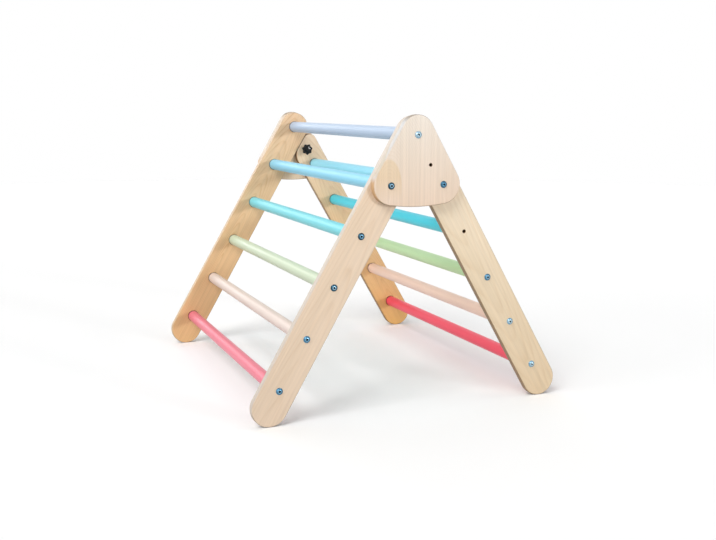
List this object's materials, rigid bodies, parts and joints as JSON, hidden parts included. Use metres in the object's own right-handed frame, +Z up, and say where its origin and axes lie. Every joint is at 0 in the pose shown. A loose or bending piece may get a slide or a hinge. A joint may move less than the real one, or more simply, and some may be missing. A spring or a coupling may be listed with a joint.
{
  "type": "folding climbing triangle",
  "caption": "Folding climbing frame for a small child: rung ladders meet at apex plates, hinge there to fold together and are locked open by star knobs.",
  "frame": {"origin": "on the floor, midway between the four feet and between the two sides, straight below the top rung's axis", "axes": "+X from the front ladder's feet to the rear ladder's feet, +Y along the rungs to the left side, +Z up"},
  "size_m": [0.6596, 0.7764, 0.5828],
  "materials": {
    "board_wood": "clear satin varnish over fine pale plywood-straight grain",
    "plate_wood": "clear satin varnish, upright grain",
    "paint_lavender": "satin water-based paint on turned wood",
    "paint_sky": "satin water-based paint on turned wood",
    "paint_aqua": "satin water-based paint on turned wood",
    "paint_lime": "satin water-based paint on turned wood",
    "paint_blush": "satin water-based paint on turned wood",
    "paint_coral": "satin water-based paint on turned wood",
    "zinc_steel": "blue zinc plate",
    "insert_metal": "yellow zinc plate",
    "black_plastic": "glossy moulded plastic"
  },
  "bodies": {
    "front_frame": {"front_leg_right": "board_wood", "front_leg_left": "board_wood", "apex_plate_right": "plate_wood", "apex_plate_left": "plate_wood", "front_rung_1": "paint_lavender", "front_rung_2": "paint_sky", "front_rung_3": "paint_aqua", "front_rung_4": "paint_lime", "front_rung_5": "paint_blush", "front_rung_6": "paint_coral", "front_rung_inserts": "insert_metal", "plate_inserts": "insert_metal", "plate_bolts": "zinc_steel", "front_leg_bolts": "zinc_steel"},
    "rear_ladder": {"rear_leg_right": "board_wood", "rear_leg_left": "board_wood", "rear_rung_1": "paint_sky", "rear_rung_2": "paint_aqua", "rear_rung_3": "paint_lime", "rear_rung_4": "paint_blush", "rear_rung_5": "paint_coral", "rear_rung_inserts": "insert_metal", "pivot_bolts": "zinc_steel", "rear_leg_bolts": "zinc_steel"},
    "right_washer": {"knob_washer_right": "zinc_steel"},
    "right_knob": {"star_knob_right": "black_plastic", "knob_stud_right": "zinc_steel"},
    "left_washer": {"knob_washer_left": "zinc_steel"},
    "left_knob": {"star_knob_left": "black_plastic", "knob_stud_left": "zinc_steel"}
  },
  "joints": [
    {"name": "fold", "type": "hinge", "parent": "front_frame", "child": "rear_ladder", "pos_m": [0.055, 0, 0.44953], "axis": [0, 1, 0], "range_deg": [0, 62.5]},
    {"name": "right_knob_travel", "type": "slide", "parent": "rear_ladder", "child": "right_washer", "axis": [0, -1, 0], "range_m": [0, 0.0086]},
    {"name": "right_knob_turn", "type": "hinge", "parent": "right_washer", "child": "right_knob", "pos_m": [0.027, -0.3461, 0.48763], "axis": [0, -1, 0], "range_deg": [0, 3060]},
    {"name": "left_knob_travel", "type": "slide", "parent": "rear_ladder", "child": "left_washer", "axis": [0, 1, 0], "range_m": [0, 0.0086]},
    {"name": "left_knob_turn", "type": "hinge", "parent": "left_washer", "child": "left_knob", "pos_m": [0.027, 0.3461, 0.48763], "axis": [0, 1, 0], "range_deg": [0, 3060]}
  ],
  "couplings": [
    {"joint": "right_knob_travel", "follows": "right_knob_turn", "m_per_rad": 0.00015915},
    {"joint": "left_knob_travel", "follows": "left_knob_turn", "m_per_rad": 0.00015915}
  ]
}
